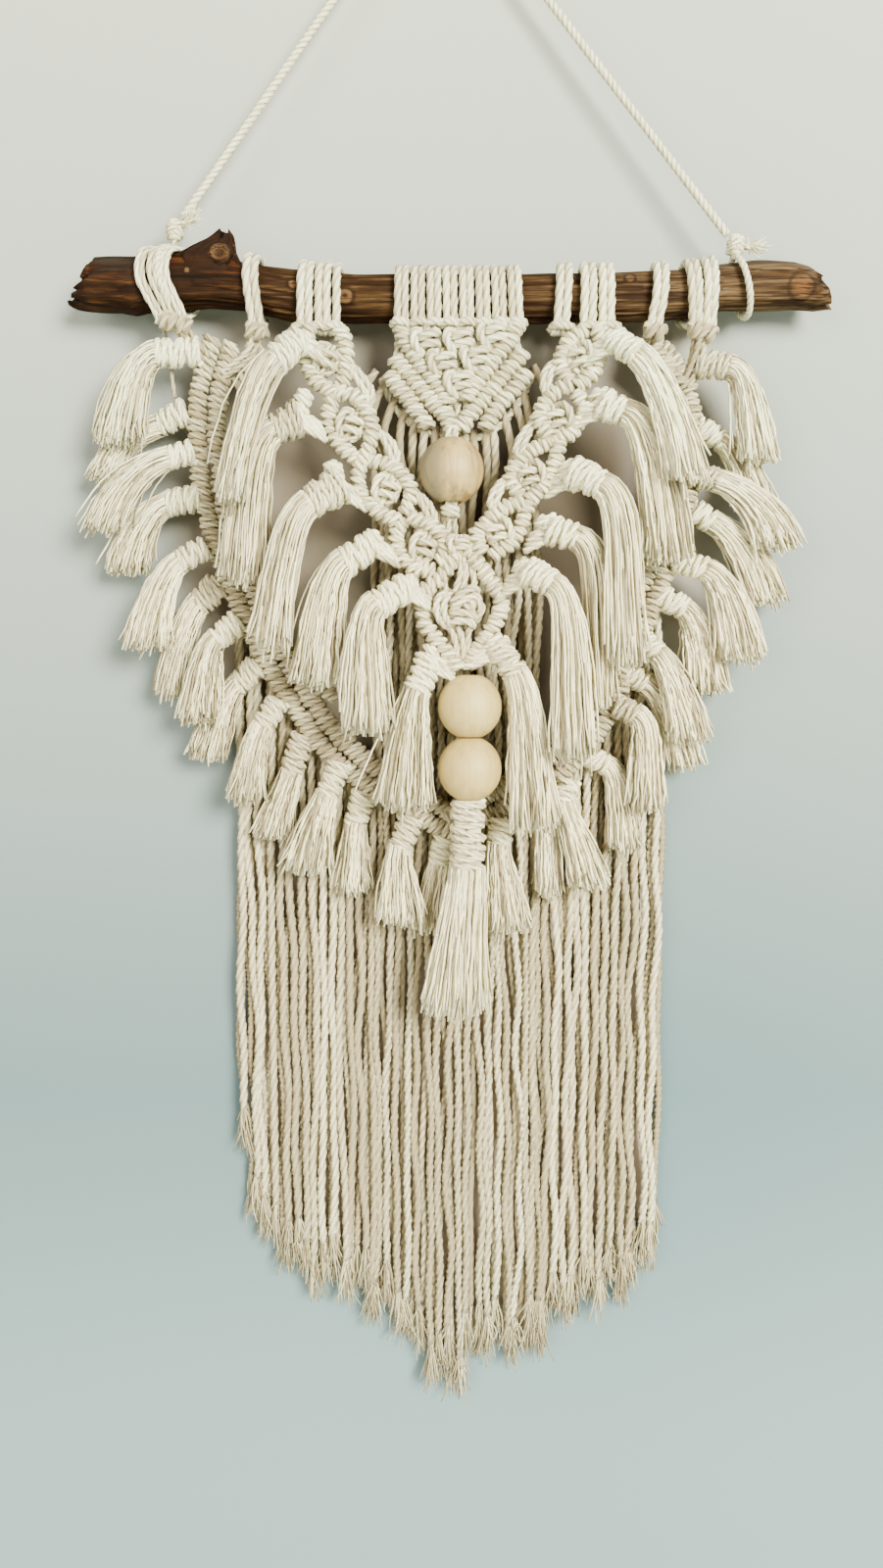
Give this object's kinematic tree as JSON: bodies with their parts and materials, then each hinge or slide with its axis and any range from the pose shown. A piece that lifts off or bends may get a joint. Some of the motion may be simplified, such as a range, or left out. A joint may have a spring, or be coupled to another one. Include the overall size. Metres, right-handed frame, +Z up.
{
  "type": "macrame wall hanging on a driftwood branch",
  "caption": "Knotted cotton cord hanging with two V bands of tassels, a centre panel, wooden beads and a long cord curtain on a driftwood branch.",
  "frame": {"origin": "top of the nail that the hanger rope bears on, on the rope's underside at its apex", "axes": "+X to the right along the branch, +Y into the wall, +Z up"},
  "size_m": [0.3758, 0.0609, 0.7736],
  "materials": {
    "cotton_cord": "undyed twisted cotton, matt",
    "driftwood": "weathered bare wood, matt",
    "bead_wood": "sanded unvarnished wood"
  },
  "bodies": {
    "root": {"back_band": "cotton_cord", "back_tassel_l1": "cotton_cord", "back_tassel_l10": "cotton_cord", "back_tassel_l11": "cotton_cord", "back_tassel_l12": "cotton_cord", "back_tassel_l13": "cotton_cord", "back_tassel_l14": "cotton_cord", "back_tassel_l2": "cotton_cord", "back_tassel_l3": "cotton_cord", "back_tassel_l4": "cotton_cord", "back_tassel_l5": "cotton_cord", "back_tassel_l6": "cotton_cord", "back_tassel_l7": "cotton_cord", "back_tassel_l8": "cotton_cord", "back_tassel_l9": "cotton_cord", "back_tassel_r1": "cotton_cord", "back_tassel_r10": "cotton_cord", "back_tassel_r11": "cotton_cord", "back_tassel_r12": "cotton_cord", "back_tassel_r13": "cotton_cord", "back_tassel_r2": "cotton_cord", "back_tassel_r3": "cotton_cord", "back_tassel_r4": "cotton_cord", "back_tassel_r5": "cotton_cord", "back_tassel_r6": "cotton_cord", "back_tassel_r7": "cotton_cord", "back_tassel_r8": "cotton_cord", "back_tassel_r9": "cotton_cord", "bead_lower": "bead_wood", "bead_middle": "bead_wood", "bead_upper": "bead_wood", "branch": "driftwood", "centre_cords": "cotton_cord", "centre_panel": "cotton_cord", "curtain_left": "cotton_cord", "curtain_right": "cotton_cord", "front_band": "cotton_cord", "front_tassel_l1": "cotton_cord", "front_tassel_l2": "cotton_cord", "front_tassel_l3": "cotton_cord", "front_tassel_l4": "cotton_cord", "front_tassel_l5": "cotton_cord", "front_tassel_l6": "cotton_cord", "front_tassel_r1": "cotton_cord", "front_tassel_r2": "cotton_cord", "front_tassel_r3": "cotton_cord", "front_tassel_r4": "cotton_cord", "front_tassel_r5": "cotton_cord", "front_tassel_r6": "cotton_cord", "hanger_knot_left": "cotton_cord", "hanger_knot_right": "cotton_cord", "hanger_rope": "cotton_cord", "main_tassel": "cotton_cord"}
  },
  "joints": []
}
